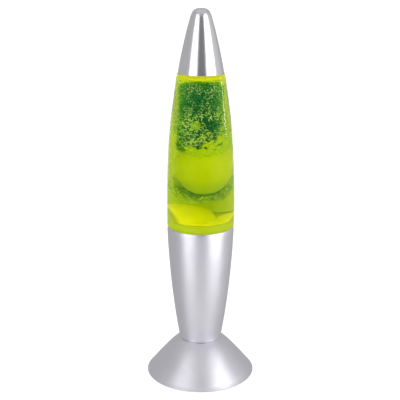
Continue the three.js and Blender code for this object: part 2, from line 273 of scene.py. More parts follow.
def finish(
    name, light, dark, roughness, metallic=0.0, spot=0.006, grain=0.0005, bump=0.1, turned=False, **sockets
):
    """Colour and roughness that wander by noise of size spot, with a grain that shows as bumps."""
    material = bpy.data.materials.new(name)
    material.use_nodes = True
    tree = Tree(material.node_tree)
    position = tree.node("ShaderNodeTexCoord").outputs["Object"]
    wander = tree.noise(position, spot)
    shader = tree.node("ShaderNodeBsdfPrincipled")
    colour = tree.mixed(tree.ramped(wander, WANDER, (0, 1)), dark, light)
    tree.link(colour, shader.inputs["Base Color"])
    dullness = tree.ramped(wander, WANDER, (roughness * 1.12, roughness * 0.9))
    tree.link(dullness, shader.inputs["Roughness"])
    shader.inputs["Metallic"].default_value = metallic
    if bump:
        grained = turned_coordinates(tree, position) if turned else position
        bumps = tree.node("ShaderNodeBump", Height=tree.noise(grained, grain))
        bumps.inputs["Strength"].default_value = bump
        bumps.inputs["Distance"].default_value = grain / 4
        tree.link(bumps.outputs["Normal"], shader.inputs["Normal"])
    for socket, value in sockets.items():
        shader.inputs[socket].default_value = value
    tree.link(shader.outputs[0], tree.node("ShaderNodeOutputMaterial").inputs["Surface"])
    return material


def wax_finish(name, glow, painted_shade_glow=None, edge=None):
    """Wax that glows softly, because light spreads inside it. The glow turns to painted_shade_glow between the two
    distances from the axis in edge."""
    light, dark = (0.22, 0.27, 0.004), (0.19, 0.24, 0.004)
    material = finish(name, light, dark, 0.45, spot=0.012, grain=0.003, bump=0.1)
    tree = Tree(material.node_tree, keep=True)
    shader = tree.named("ShaderNodeBsdfPrincipled")
    position = tree.node("ShaderNodeTexCoord").outputs["Object"]
    wander = tree.ramped(tree.noise(position, 0.009), WANDER, (0, 1))
    colour = tree.mixed(wander, [0.93 * channel for channel in glow], glow)
    # the glow dims towards the glass wall: painted shade
    if edge:
        parts = tree.node("ShaderNodeSeparateXYZ", Vector=turned_coordinates(tree, position))
        colour = tree.mixed(tree.ramped(parts.outputs["X"], edge, (0, 1)), colour, painted_shade_glow)
    tree.link(colour, shader.inputs["Emission Color"])
    shader.inputs["Emission Strength"].default_value = 1.0
    return material


def crumb_finish(name, light, dark, glow, strength, spot=0.002):
    """Wax in small bits, which glows softly too."""
    glows = {"Emission Color": (*glow, 1), "Emission Strength": strength}
    return finish(name, light, dark, 0.45, spot=spot, grain=0.001, bump=0.2, **glows)


def clear(name, ior, kept, per, ripple, haze=None, **sockets):
    """Glass or liquid. kept is the share of red, green and blue light left after per metres of it, and haze
    is the light that a metre of it scatters towards the eye."""
    material = bpy.data.materials.new(name)
    material.use_nodes = True
    tree = Tree(material.node_tree)
    shader = tree.node("ShaderNodeBsdfPrincipled")
    shader.inputs["Base Color"].default_value = WHITE
    shader.inputs["Roughness"].default_value = 0.0
    shader.inputs["Transmission Weight"].default_value = 1.0
    shader.inputs["IOR"].default_value = ior
    position = tree.node("ShaderNodeTexCoord").outputs["Object"]
    bumps = tree.node("ShaderNodeBump", Height=tree.noise(position, 0.02, 1.0))
    bumps.inputs["Strength"].default_value = 1.0
    bumps.inputs["Distance"].default_value = ripple
    tree.link(bumps.outputs["Normal"], shader.inputs["Normal"])
    for socket, value in sockets.items():
        shader.inputs[socket].default_value = value
    lost = [-math.log(share) / per for share in kept]
    absorption = tree.node("ShaderNodeVolumeAbsorption")
    absorption.inputs["Density"].default_value = max(lost)
    absorption.inputs["Color"].default_value = (*(1 - amount / max(lost) for amount in lost), 1)
    output = tree.node("ShaderNodeOutputMaterial")
    tree.link(shader.outputs[0], output.inputs["Surface"])
    volume = absorption.outputs[0]
    if haze:
        scattered = tree.node("ShaderNodeEmission", Color=(*haze, 1), Strength=1.0)
        both = tree.node("ShaderNodeAddShader")
        tree.link(volume, both.inputs[0])
        tree.link(scattered.outputs[0], both.inputs[1])
        volume = both.outputs[0]
    tree.link(volume, output.inputs["Volume"])
    return material


# ---- Outlines of turned pieces: lists of (radius, height), walked once round or from axis to axis ----


def cad_points(node, tilt=0.0):
    """The CAD node's corners and edges, turned by tilt about X and moved so that its own axis is at the
    origin. Returns the points, the edges and the matrix that puts a piece back in its place."""
    mesh = frame["nodes"][node].data
    turn = Matrix.Rotation(tilt, 4, "X")
    points = [turn @ vertex.co for vertex in mesh.vertices]
    middle = [(min(p[i] for p in points) + max(p[i] for p in points)) / 2 for i in (0, 1)]
    shift = Vector((*middle, 0))
    return [p - shift for p in points], mesh.edges, turn.inverted() @ Matrix.Translation(shift)


SAME = 2e-6  # metres: closer than this counts as touching


def outline_of(node, along=(0, -1), tilt=0.0):
    """A turned CAD node's outline, read off its mesh in the half-plane that points along, and its place."""
    points, edges, place = cad_points(node, tilt)
    direction = Vector((*along, 0))
    sideways = Vector((-along[1], along[0], 0))

    def key(index):
        p = points[index]
        radius = p.dot(direction)
        if abs(p.dot(sideways)) > SAME or radius < -SAME:
            return None
        return (round(max(radius, 0), 6), round(p.z, 6))

    joined = {}
    for edge in edges:
        a, b = (key(i) for i in edge.vertices)
        if a and b and a != b:
            joined.setdefault(a, set()).add(b)
            joined.setdefault(b, set()).add(a)
    return walked(joined), place


def walked(joined):
    """The points in order. A flat face has no edge of its own here, so a loose end meets the nearest loose
    end at its height, or else closes on the axis."""
    loose = [p for p in joined if p[0] > 0 and len(joined[p]) == 1]
    while loose:
        end = loose.pop()
        level = [p for p in loose if abs(p[1] - end[1]) < SAME]
        other = min(level, key=lambda p: abs(p[0] - end[0])) if level else (0.0, end[1])
        if level:
            loose.remove(other)
        joined[end].add(other)
        joined.setdefault(other, set()).add(end)
    ends = sorted(p for p in joined if p[0] == 0)
    point = ends[0] if ends else min(joined)
    path, before = [point], None
    while True:
        onward = [p for p in joined[point] if p != before and p not in path]
        if not onward:
            return path
        before, point = point, onward[0]
        path.append(point)


def refined(outline, sharp, rounding, step):
    """The outline with corners over sharp degrees rounded a little, and the rest as a smooth curve."""
    closed = outline[0][0] > 0
    points = [Vector(p) for p in outline]
    if closed:
        points.append(points[0])

    def turning(a, b, c):
        return math.degrees((b - a).angle(c - b, 0))

    ring = points[:-1] if closed else points
    corners = [
        i for i in range(len(ring))
        if not closed and i in (0, len(ring) - 1)
        or turning(ring[i - 1], ring[i], ring[(i + 1) % len(ring)]) > sharp
    ]
    if not corners:
        corners = [0]
    runs = [
        [ring[k % len(ring)] for k in range(a, b + 1)]
        for a, b in zip(corners, corners[1:] + ([corners[0] + len(ring)] if closed else []))
    ]
    result = []
    for run in runs:
        start = 0 if run[0].x == 0 else min(rounding, 0.4 * (run[1] - run[0]).length)
        end = 0 if run[-1].x == 0 else min(rounding, 0.4 * (run[-1] - run[-2]).length)
        trimmed = list(run)
        trimmed[0] = run[0] + (run[1] - run[0]).normalized() * start
        trimmed[-1] = run[-1] + (run[-2] - run[-1]).normalized() * end
        result.append((run[0], smooth_run(trimmed, step)))
    return joined_runs(result, closed)


def smooth_run(points, step):
    """A smooth curve through the points, with points about step apart. Two points stay a straight line."""
    if len(points) == 2:
        return points
    line = []
    for i in range(len(points) - 1):
        a, b = points[i], points[i + 1]
        before = points[i - 1] if i else a * 2 - b
        after = points[i + 2] if i + 2 < len(points) else b * 2 - a
        count = max(2, round((b - a).length / step))
        line += [centripetal(before, a, b, after, k / count) for k in range(count)]
    return line + [points[-1]]


def centripetal(p0, p1, p2, p3, share):
    """A point between p1 and p2 on a centripetal Catmull-Rom curve."""
    t1 = (p1 - p0).length ** 0.5
    t2 = t1 + (p2 - p1).length ** 0.5
    t3 = t2 + (p3 - p2).length ** 0.5
    t = t1 + (t2 - t1) * share
    a1 = p0.lerp(p1, t / t1)
    a2 = p1.lerp(p2, (t - t1) / (t2 - t1))
    a3 = p2.lerp(p3, (t - t2) / (t3 - t2))
    b1 = a1.lerp(a2, t / t2)
    b2 = a2.lerp(a3, (t - t1) / (t3 - t1))
    return b1.lerp(b2, (t - t1) / (t2 - t1))


def joined_runs(runs, closed):
    """The runs end to end, with a small round at each corner between two of them."""
    line = []
    for i, (corner, run) in enumerate(runs):
        if i or closed:
            before, after = runs[i - 1][1][-1], run[0]
            line += [before.lerp(corner, t).lerp(corner.lerp(after, t), t) for t in (0.25, 0.5, 0.75)]
        line += run
    return [(max(p.x, 0), p.y) for p in line]


# ---- Mesh tools ----


SOFT_ANGLE = 35  # degrees: steeper edges stay sharp


def new_piece(name, mesh, body, material, replaces=(), soft_angle=SOFT_ANGLE):
    mesh.shade_smooth()
    mesh.set_sharp_from_angle(angle=math.radians(soft_angle))
    piece = bpy.data.objects.new(name, mesh)
    bpy.context.scene.collection.objects.link(piece)
    mesh.materials.append(material)
    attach(piece, body)
    if replaces:
        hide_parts(*replaces)
    return piece


def body_of(node):
    return frame["nodes"][node]["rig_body"]


def revolved(name, outline, sides, shape=None, place=None):
    """The outline turned about Z, as a closed mesh. shape(radius, height, angle) may move each point."""
    closed = outline[0][0] > 0
    build = bmesh.new()
    rings = []
    for radius, height in outline:
        count = sides if radius > 0 else 1
        ring = []
        for k in range(count):
            angle = TURN * k / sides
            r, z = shape(radius, height, angle) if shape else (radius, height)
            ring.append(build.verts.new((r * math.cos(angle), r * math.sin(angle), z)))
        rings.append(ring)
    pairs = list(zip(rings, rings[1:])) + ([(rings[-1], rings[0])] if closed else [])
    for a, b in pairs:
        for k in range(sides):
            corners = [a[k % len(a)], a[(k + 1) % len(a)], b[(k + 1) % len(b)], b[k % len(b)]]
            corners = list(dict.fromkeys(corners))
            if len(corners) > 2:
                build.faces.new(corners)
    bmesh.ops.recalc_face_normals(build, faces=build.faces)
    mesh = bpy.data.meshes.new(name)
    build.to_mesh(mesh)
    build.free()
    if place:
        mesh.transform(place)
    return mesh


def turned_piece(
    node,
    material,
    sides=128,
    sharp=40,
    rounding=0.25 * MM,
    step=1.2 * MM,
    along=(0, -1),
    tilt=0.0,
    shape=None,
):
    """A fine turned surface in place of a turned CAD node."""
    outline, place = outline_of(node, along, tilt)
    mesh = revolved(f"{node}_fine", refined(outline, sharp, rounding, step), sides, shape, place)
    return new_piece(f"{node}_fine", mesh, body_of(node), material, [node])


def cut(piece, *tools):
    """Cuts the tools' meshes out of the piece."""
    for mesh in tools:
        tool = bpy.data.objects.new("tool", mesh)
        bpy.context.scene.collection.objects.link(tool)
        modifier = piece.modifiers.new("cut", "BOOLEAN")
        modifier.object = tool
        modifier.operation = "DIFFERENCE"
        modifier.solver = "EXACT"
        apply_modifiers(piece)
        bpy.data.objects.remove(tool)
    piece.data.set_sharp_from_angle(angle=math.radians(SOFT_ANGLE))


def apply_modifiers(piece):
    graph = bpy.context.evaluated_depsgraph_get()
    made = bpy.data.meshes.new_from_object(piece.evaluated_get(graph), depsgraph=graph)
    piece.modifiers.clear()
    piece.data = made


def rod_mesh(radius, start, end, place=None, sides=32):
    return revolved("rod", [(0, start), (radius, start), (radius, end), (0, end)], sides, place=place)


def tube_mesh(name, points, radius, sides=10, closed=False):
    """A round wire along the points."""
    build = bmesh.new()
    count = len(points)
    rings = []
    side = Vector((0, 0, 1))
    for i, point in enumerate(points):
        ahead = points[(i + 1) % count] if closed or i + 1 < count else point
        behind = points[i - 1] if closed or i else point
        tangent = (ahead - behind).normalized()
        side = (side - tangent * side.dot(tangent)).normalized()
        across = tangent.cross(side)
        ring = []
        for k in range(sides):
            angle = TURN * k / sides
            outward = side * math.cos(angle) + across * math.sin(angle)
            ring.append(build.verts.new(point + outward * radius))
        rings.append(ring)
    for i in range(count if closed else count - 1):
        a, b = rings[i], rings[(i + 1) % count]
        for k in range(sides):
            build.faces.new((a[k], a[(k + 1) % sides], b[(k + 1) % sides], b[k]))
    if not closed:
        build.faces.new(rings[0])
        build.faces.new(rings[-1])
    bmesh.ops.recalc_face_normals(build, faces=build.faces)
    mesh = bpy.data.meshes.new(name)
    build.to_mesh(mesh)
    build.free()
    return mesh


# ---- Finishes ----

SATIN = dict(metallic=1.0, spot=0.02, grain=0.0012, bump=0.03, turned=True)

# The share of red, green and blue light that is left
GLASS_KEEPS = (0.97, 0.985, 0.35)  # after both walls of the bottle,
LIQUID_KEEPS = (0.25, 0.36, 0.0012)  # after the middle of the liquid,
CORE_KEEPS = (0.02, 0.18, 0.9)  # after the column of painted shade in the liquid above the blob,
LOW_CORE_KEEPS = (0.38, 0.54, 0.9)  # and after the painted shade in the liquid under the blob

# The metres of each that those shares are for
GLASS_DEPTH = 0.006
LIQUID_DEPTH = 0.06
CORE_DEPTH = 0.034

CORE_HAZE = (0.3, 1.8, 8)  # the light that a metre of the painted-shade column above the blob scatters,
LOW_CORE_HAZE = (0.05, 0.3, 5)  # and that of the painted shade under it

GLASS_RIPPLE = 0.000003  # metres of height of the waves in the bottle's faces,
RIPPLE = 0.00002  # and in the liquids' faces
FAINT_MIRROR = {"Specular Tint": (0.06, 0.06, 0.06, 1)}
NO_MIRROR = {"Specular Tint": (0, 0, 0, 1)}

POOL_EDGE = (0.0265, 0.0303)  # distances from the axis between which the molten wax's glow dims to a painted shade near the glass wall

finishes = {}


def make_metals():
    finishes.update(
        satin=finish("satin_aluminium", (0.85, 0.84, 0.9), (0.83, 0.82, 0.88), 0.4, **SATIN),
        gloss=finish("gloss_aluminium", (0.86, 0.855, 0.89), (0.84, 0.835, 0.87), 0.2, **SATIN),
        steel=finish("zinc_steel", (0.62, 0.63, 0.64), (0.5, 0.51, 0.53), 0.36, 1.0, 0.004, 0.0003),
        tinplate=finish("tinplate", (0.74, 0.73, 0.7), (0.66, 0.65, 0.62), 0.25, 1.0, grain=0.0003),
        spring=finish("spring_steel", (0.6, 0.6, 0.6), (0.45, 0.45, 0.46), 0.3, 1.0, spot=0.002),
        tungsten=finish("tungsten", (0.36, 0.35, 0.35), (0.28, 0.27, 0.27), 0.45, 1.0, spot=0.001),
        brass=finish("brass", (0.75, 0.58, 0.26), (0.62, 0.45, 0.18), 0.3, 1.0, 0.003, 0.0003),
        bulb_cap=finish("bulb_cap_metal", (0.75, 0.74, 0.71), (0.66, 0.65, 0.62), 0.22, 1.0, 0.003, 0.0002),
    )


def make_insulators():
    black_light, black_dark = (0.04, 0.04, 0.045), (0.028, 0.028, 0.032)
    white_light, white_dark = (0.87, 0.85, 0.79), (0.78, 0.75, 0.68)
    grey_light, grey_dark = (0.62, 0.62, 0.6), (0.52, 0.52, 0.5)
    finishes.update(
        vitrite=finish("bulb_insulator", (0.05, 0.04, 0.05), (0.02, 0.015, 0.02), 0.15, 0.0, 0.002, 0.0004),
        plastic=finish("black_plastic", black_light, black_dark, 0.5, grain=0.0004, bump=0.4),
        phenolic=finish("holder_phenolic", (0.05, 0.04, 0.035), (0.03, 0.024, 0.02), 0.32, grain=0.0006),
        ceramic=finish("holder_ceramic", white_light, white_dark, 0.55, grain=0.0003, bump=0.3),
        rubber=finish("black_rubber", (0.075,) * 3, (0.055,) * 3, 0.8, grain=0.0003, bump=0.5),
        seal=finish("seal_rubber", grey_light, grey_dark, 0.7, grain=0.0003, bump=0.3),
    )


def make_glasses():
    through = {"Transmission Weight": 0.5}
    silver_light, silver_dark = (0.85, 0.85, 0.86), (0.8, 0.8, 0.82)
    frost_light, frost_dark = (0.93, 0.93, 0.93), (0.86, 0.86, 0.87)
    finishes.update(
        silvering=finish("bulb_silvering", silver_light, silver_dark, 0.08, 1.0, grain=0.004, bump=0.05),
        frost=finish("bulb_frost", frost_light, frost_dark, 0.4, grain=0.0004, bump=0.3, **through),
        stem_glass=clear("bulb_stem_glass", 1.5, (0.95, 0.95, 0.95), 0.01, 0.0001),
        bottle=clear("bottle_glass", 1.5, GLASS_KEEPS, GLASS_DEPTH, GLASS_RIPPLE, **FAINT_MIRROR),
    )


def make_liquids():
    finishes.update(
        liquid=clear("green_liquid", 1.36, LIQUID_KEEPS, LIQUID_DEPTH, RIPPLE, **NO_MIRROR),
        # a darker column in the middle of the liquid: painted shade
        core=clear("green_core_shade", 1.0, CORE_KEEPS, CORE_DEPTH, RIPPLE, CORE_HAZE, **NO_MIRROR),
        # darker liquid under the blob: painted shade
        low_core=clear("low_core", 1.0, LOW_CORE_KEEPS, CORE_DEPTH, RIPPLE, LOW_CORE_HAZE, **NO_MIRROR),
    )


def make_waxes():
    finishes.update(
        wax=wax_finish("yellow_wax", (0.46, 0.555, 0.001)),
        # the molten wax's glow dims towards the glass wall: painted shade
        pool_wax=wax_finish("pool_wax", (0.8, 0.76, 0.001), (0.29, 0.37, 0.001), POOL_EDGE),
        top_wax=wax_finish("top_wax", (0.47, 0.46, 0.001)),
        crumb=crumb_finish("wax_crumb", (0.45, 0.5, 0.38), (0.25, 0.34, 0.25), (0.36, 0.55, 0.36), 0.72),
        blob_crumb=crumb_finish("blob_crumb", (0.3, 0.44, 0.1), (0.2, 0.36, 0.06), (0.4, 0.54, 0.12), 0.75),
        lump=crumb_finish("wax_lump", (0.34, 0.44, 0.02), (0.22, 0.36, 0.02), (0.42, 0.56, 0.01), 0.7, 0.003),
    )


def make_finishes():
    make_metals()
    make_insulators()
    make_glasses()
    make_liquids()
    make_waxes()


# ---- The bottle and what is in it ----

WETTING = 0.15 * MM  # how far the contents reach into the wall, so that no film of air shows between


def wall_reader(outline):
    """The bottle's inner radius at a height, from its fine outline."""
    pairs = list(zip(outline, outline[1:] + outline[:1]))

    def radius(z):
        found = [
            a[0] + (b[0] - a[0]) * (z - a[1]) / (b[1] - a[1])
            for a, b in pairs
            if min(a[1], b[1]) <= z < max(a[1], b[1])
        ]
        return min(found) + WETTING

    return radius


def spread(start, end, count):
    """Numbers from start to end in count even steps."""
    return [start + (end - start) * i / count for i in range(count + 1)]


def smooth_max(a, b, blend):
    """The greater of two heights, with a soft hollow of size blend where they cross."""
    mix = max(0.0, min(1.0, 0.5 + (a - b) / (2 * blend)))
    return b + (a - b) * mix + blend * mix * (1 - mix)


def make_bottle():
    outline, _ = outline_of("glass_bottle")
    fine = refined(outline, 50, 0.6 * MM, 1.5 * MM)
    mesh = revolved("glass_bottle_fine", fine, 192)
    glass = finishes["bottle"]
    bottle = new_piece("glass_bottle_fine", mesh, "bottle", glass, ["glass_bottle"])
    light_bottle(bottle)
    return wall_reader(fine)


# The broad mound and the low hump of molten wax: their middles, and their reach sideways and backwards
MOUND_AT, MOUND_REACH = Vector((-13 * MM, 0)), (25 * MM, 22 * MM)
HUMP_AT, HUMP_REACH = Vector((22 * MM, 2 * MM)), (13 * MM, 17 * MM)
HUMP_RISE = 4.5 * MM  # over the level wax
ROOT_DEPTH = 7.5 * MM  # of the mound and the hump, under the level wax
FLATNESS = 2.5  # of their tops: 2 would be a plain ellipsoid


def pool_top():
    """The height of the molten wax at a point: a level pool, a mound at the left and a hump at the right."""
    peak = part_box("wax_pool")[1].z
    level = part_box("lava_liquid")[0].z

    def dome(at, centre, reach, top):
        base = level - ROOT_DEPTH
        share = Vector(((at.x - centre.x) / reach[0], (at.y - centre.y) / reach[1])).length
        return base + (top - base) * max(0.0, 1 - share**FLATNESS) ** (1 / FLATNESS)

    def height(x, y):
        at = Vector((x, y))
        wave = 0.6 * MM * noise.noise(Vector((x, y, 0)) * 90)
        high = dome(at, MOUND_AT, MOUND_REACH, peak)
        low = dome(at, HUMP_AT, HUMP_REACH, level + HUMP_RISE)
        return smooth_max(smooth_max(level + wave, high, 3 * MM), low, 2 * MM)

    return height


def make_pool(wall):
    """The molten wax. Its underside arches over the coiled spring, and its side follows its wavy rim."""
    low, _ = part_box("wax_pool")
    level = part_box("lava_liquid")[0].z
    coil_low, coil_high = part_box("wax_coil")
    arch = (coil_high.z - coil_low.z) / 2 + 0.5 * MM
    ring = coil_high.x - arch + 0.5 * MM
    coil_z = (coil_low.z + coil_high.z) / 2
    floor = low.z + 0.05 * MM
    heel_z = low.z + 2.4 * MM
    shoulder_z = level - 8 * MM
    bottom = [(r, floor) for r in spread(0, wall(heel_z) - 1.5 * MM, 40)]
    side = [(wall(z), z) for z in spread(heel_z, level - 0.4 * MM, 26)]
    edge = side[-1][0]
    top = [(r, level) for r in spread(edge - 0.2 * MM, 0, 44)]
    surface = pool_top()

    def shape(r, z, angle):
        if z >= level:
            return r, surface(r * math.cos(angle), r * math.sin(angle))
        if z == floor:
            round_coil = coil_z + math.sqrt(max(0.0, arch**2 - (r - ring) ** 2))
            return r, max(floor, round_coil) if abs(r - ring) < arch else floor
        rise = surface(edge * math.cos(angle), edge * math.sin(angle)) - level
        z += rise * max(0.0, (z - shoulder_z) / (level - shoulder_z))
        return wall(z), z

    mesh = revolved("wax_pool_fine", bottom + side + top, 128, shape)
    new_piece("wax_pool_fine", mesh, "bottle", finishes["pool_wax"], ["wax_pool"])


def make_liquid(wall):
    """The liquid. Its underside follows the top of the molten wax."""
    low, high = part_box("lava_liquid")
    side = [(wall(z), z) for z in spread(low.z - 0.6 * MM, high.z + 3 * MM, 90)]
    bottom = [(r, low.z) for r in spread(0, side[0][0] - 0.3 * MM, 44)]
    top = [(r, side[-1][1]) for r in spread(side[-1][0], 0, 20)[1:]]
    surface = pool_top()
    edge = side[0][0]
    reach = 25 * MM

    def shape(r, z, angle):
        if z == low.z:
            return r, surface(r * math.cos(angle), r * math.sin(angle)) - 0.3 * MM
        share = max(0.0, 1 - (z - low.z) / reach)
        if not share:
            return r, z
        z += share * (surface(edge * math.cos(angle), edge * math.sin(angle)) - low.z)
        return wall(z), z

    mesh = revolved("lava_liquid_fine", bottom + side + top, 128, shape)
    new_piece("lava_liquid_fine", mesh, "bottle", finishes["liquid"], ["lava_liquid"])


CORE_LOW_R = 17.5 * MM  # the painted-shade core's radius above the blob,
CORE_HIGH_R = 16.2 * MM  # and under the top wax


def make_core():
    """Painted shade: the clear upper liquid looks darker and greener than the cloudy rest, so a darker column
    with rounded ends stands in it.
    """
    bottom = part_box("wax_blob")[1].z - 5 * MM
    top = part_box("lava_liquid")[1].z - 4.5 * MM
    rounding = 6 * MM
    outline = [(0, bottom), (CORE_LOW_R - rounding / 3, bottom), (CORE_LOW_R, bottom + rounding / 3)]
    outline += [(CORE_HIGH_R - rounding * (1 - math.cos(a)), top - rounding * (1 - math.sin(a)))
                for a in spread(0, math.pi / 2, 8)]
    outline += [(0, top)]
    mesh = revolved("liquid_core_shade", outline, 96)
    new_piece("liquid_core_shade", mesh, "bottle", finishes["core"])


def make_low_core():
    """Painted shade under the blob: the same darker liquid, as a dish that follows the blob's underside."""
    outline, place = outline_of("wax_blob")
    bottom = outline[0][1]
    under = [(r + 0.7 * MM if r else 0, z - 0.7 * MM) for r, z in outline if z < bottom + 17 * MM]
    outside = [(22.6, 17), (22.6, 9), (20.8, 1), (16.5, -5), (10, -7.8), (0, -8.6)]
    dish = under + [(r * MM, bottom + z * MM) for r, z in outside]
    mesh = revolved("low_core", refined(dish, 70, 0.5 * MM, 1.5 * MM), 96, place=place)
    new_piece("low_core", mesh, "bottle", finishes["low_core"])


def make_top_layer(wall):
    low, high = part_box("wax_top_layer")
    edge = wall(high.z)
    dip = 2.2 * MM
    top = [(r, high.z - 0.6 * MM * (1 - (r / edge) ** 4)) for r in spread(0, edge - 0.5 * MM, 16)]
    side = [(wall(z), z) for z in spread(high.z - 0.4 * MM, low.z + 0.4 * MM, 6)]
    rim = side[-1][0]
    bottom = [(r, low.z + dip * (1 - (r / rim) ** 6)) for r in spread(rim - 0.4 * MM, 0, 16)]
    mesh = revolved("wax_top_layer_fine", top + side + bottom, 128)
    new_piece("wax_top_layer_fine", mesh, "bottle", finishes["top_wax"], ["wax_top_layer"])


BEAD_ROUGH = 0.2
BEAD_SEED = Vector((8, 8, 8))


def make_blob():
    low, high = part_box("wax_blob")
    radii = (high - low) / 2
    outline, place = outline_of("wax_blob")
    shoulder = low.z + 0.6 * (high.z - low.z)

    def shape(r, z, angle):
        """The top tilts up to the right, and the sides are a little uneven."""
        above = max(0.0, (z - shoulder) / (high.z - shoulder))
        side = Vector((math.cos(angle), math.sin(angle), z / radii.z))
        uneven = 1 - 0.025 * (1 + noise.noise(side * 1.7))
        ripple = 0.5 * MM * above * noise.noise(Vector((r * side.x, r * side.y, 0)) * 220)
        return r * uneven, z + above * (0.13 * r * side.x - 2.5 * MM) + ripple

    mesh = revolved("wax_blob_fine", refined(outline, 60, 0.5 * MM, 0.8 * MM), 144, shape, place)
    new_piece("wax_blob_fine", mesh, "wax_blob", finishes["wax"], ["wax_blob"])


def make_bead():
    """A small, slightly lumpy ball of wax."""
    low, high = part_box("wax_bead")
    centre, radii = (low + high) / 2, (high - low) / 2
    build = bmesh.new()
    bmesh.ops.create_uvsphere(build, u_segments=32, v_segments=24, radius=1)
    for vertex in build.verts:
        p = vertex.co.copy()
        p *= 1 - BEAD_ROUGH / 2 + BEAD_ROUGH * (0.5 + 0.5 * noise.noise(p * 1.3 + BEAD_SEED))
        vertex.co = centre + Vector((p.x * radii.x, p.y * radii.y, p.z * radii.z))
    mesh = bpy.data.meshes.new("wax_bead_fine")
    build.to_mesh(mesh)
    build.free()
    new_piece("wax_bead_fine", mesh, "wax_bead", finishes["wax"], ["wax_bead"])


CRUMB_COUNT = 2200
LOW_CRUMB_COUNT = 420
CRUMB_STRETCH = ((1, 2), (0.5, 0.9), (0.4, 0.7))  # the least and the greatest in each direction

BALL = bmesh.new()
bmesh.ops.create_icosphere(BALL, subdivisions=1, radius=1)
BALL_POINTS = [vertex.co.copy() for vertex in BALL.verts]
BALL_FACES = [[vertex.index for vertex in face.verts] for face in BALL.faces]
BALL.free()


class Crumbs:
    """Many small crumbs of wax in one mesh: rough balls, stretched and turned at random."""

    def __init__(self, seed):
        self.rng = random.Random(seed)
        self.points = []
        self.faces = []

    def add(self, centre, size):
        stretch = Vector([self.rng.uniform(*span) for span in CRUMB_STRETCH]) * size
        axis = Vector([self.rng.uniform(-1, 1) for _ in range(3)]).normalized()
        turn = Matrix.Rotation(self.rng.uniform(0, TURN), 3, axis)
        first = len(self.points)
        for point in BALL_POINTS:
            self.points.append(centre + turn @ (point * stretch) * self.rng.uniform(0.8, 1.15))
        self.faces += [[first + i for i in face] for face in BALL_FACES]

    def piece(self, name, body, material):
        mesh = bpy.data.meshes.new(name)
        mesh.from_pydata(self.points, [], self.faces)
        mesh.validate()
        return new_piece(name, mesh, body, finishes[material], soft_angle=60)


def round_axis(radius, angle, z):
    return Vector((radius * math.cos(angle), radius * math.sin(angle), z))


def make_crumbs():
    """Crumbs of wax round the painted-shade core, fine at the top and coarser lower down."""
    crumbs = Crumbs(41)
    rng = crumbs.rng
    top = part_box("lava_liquid")[1].z - 3 * MM
    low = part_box("wax_blob")[1].z
    bead_low, bead_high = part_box("wax_bead")
    bead_at = (bead_low + bead_high) / 2
    made = 0
    while made < CRUMB_COUNT:
        share = rng.random() ** 1.2
        size = (rng.uniform(0.35, 0.6) if share > 0.55 else rng.uniform(0.45, 1.0)) * MM
        angle = rng.uniform(0, TURN)
        radius = CORE_LOW_R + (CORE_HIGH_R - CORE_LOW_R) * share + rng.uniform(-0.5, 2.3) * MM
        p = round_axis(radius, angle, low + (top - low) * share)
        if noise.noise(p * 90) < rng.uniform(-0.5, 0.15):
            continue
        if (p.xy - bead_at.xy).length < 6.5 * MM and p.z > bead_low.z - 2 * MM:
            continue
        if p.z < low + 0.25 * radius:
            continue
        crumbs.add(p, size)
        made += 1
    crumbs.piece("wax_crumbs", "bottle", "crumb")


def make_low_crumbs():
    """Crumbs on the painted shade in the liquid under the blob. They reach higher at the sides."""
    crumbs = Crumbs(7)
    rng = crumbs.rng
    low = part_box("wax_blob")[0].z
    for _ in range(LOW_CRUMB_COUNT):
        angle = rng.uniform(0, TURN)
        height = (-6.5 + rng.uniform(0, 8 + 12 * math.cos(angle) ** 4)) * MM
        radius = min(20 + 0.6 * height / MM, 23) * MM + rng.uniform(-1, 2) * MM
        crumbs.add(round_axis(radius, angle, low + height), rng.uniform(0.4, 1) * MM)
    crumbs.piece("low_crumbs", "bottle", "blob_crumb")


def heap_on_blob(name, material, seed, count, sizes, left, inner, spill):
    """Wax heaped on the blob, higher to the right. left is the furthest it reaches to the left, as a share of
    the blob's radius. inner keeps the middle free, and spill stretches the heap upwards."""
    low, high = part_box("wax_blob")
    centre, radius = (low + high) / 2, (high.x - low.x) / 2
    crumbs = Crumbs(seed)
    rng = crumbs.rng
    while count:
        r = radius * 0.94 * math.sqrt(rng.uniform(inner, 1))
        angle = rng.uniform(0, TURN)
        x, y = r * math.cos(angle), r * math.sin(angle)
        if x < left * radius:
            continue
        count -= 1
        heap = (5 + 11 * (0.5 + x / (2 * radius))) * MM
        z = high.z - 4 * MM + 0.1 * x + rng.uniform(0, 1) ** 1.5 * heap * spill
        crumbs.add(Vector((centre.x + x, centre.y + y, z)), rng.choice(sizes) * MM)
    crumbs.piece(name, "wax_blob", material)


def make_blob_crumbs():
    """The lumps and crumbs that rise and sink with the blob."""
    heap_on_blob("blob_lumps", "lump", 17, 290, (1.2, 1.6, 2.2, 2.6), left=-0.65, inner=0.72, spill=1)
    heap_on_blob("blob_crumbs", "blob_crumb", 23, 500, (0.4, 0.6, 0.8, 1.1), left=-1, inner=0.3, spill=2)


COIL_TURNS = 44
COIL_STEPS = 16  # points in one turn


def make_coil():
    """A wire coiled round a ring that lies in the molten wax."""
    low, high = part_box("wax_coil")
    wire = 0.45 * MM
    radius = (high.z - low.z) / 2 - wire
    ring = (high.x - low.x) / 2 - radius - wire
    height = (low.z + high.z) / 2
    points = []
    for i in range(COIL_TURNS * COIL_STEPS):
        around = TURN * i / (COIL_TURNS * COIL_STEPS)
        turn = TURN * i / COIL_STEPS
        points.append(round_axis(ring + radius * math.cos(turn), around, height + radius * math.sin(turn)))
    mesh = tube_mesh("wax_coil_fine", points, wire, 8, closed=True)
    new_piece("wax_coil_fine", mesh, "bottle", finishes["spring"], ["wax_coil"])


FLUTES = 21


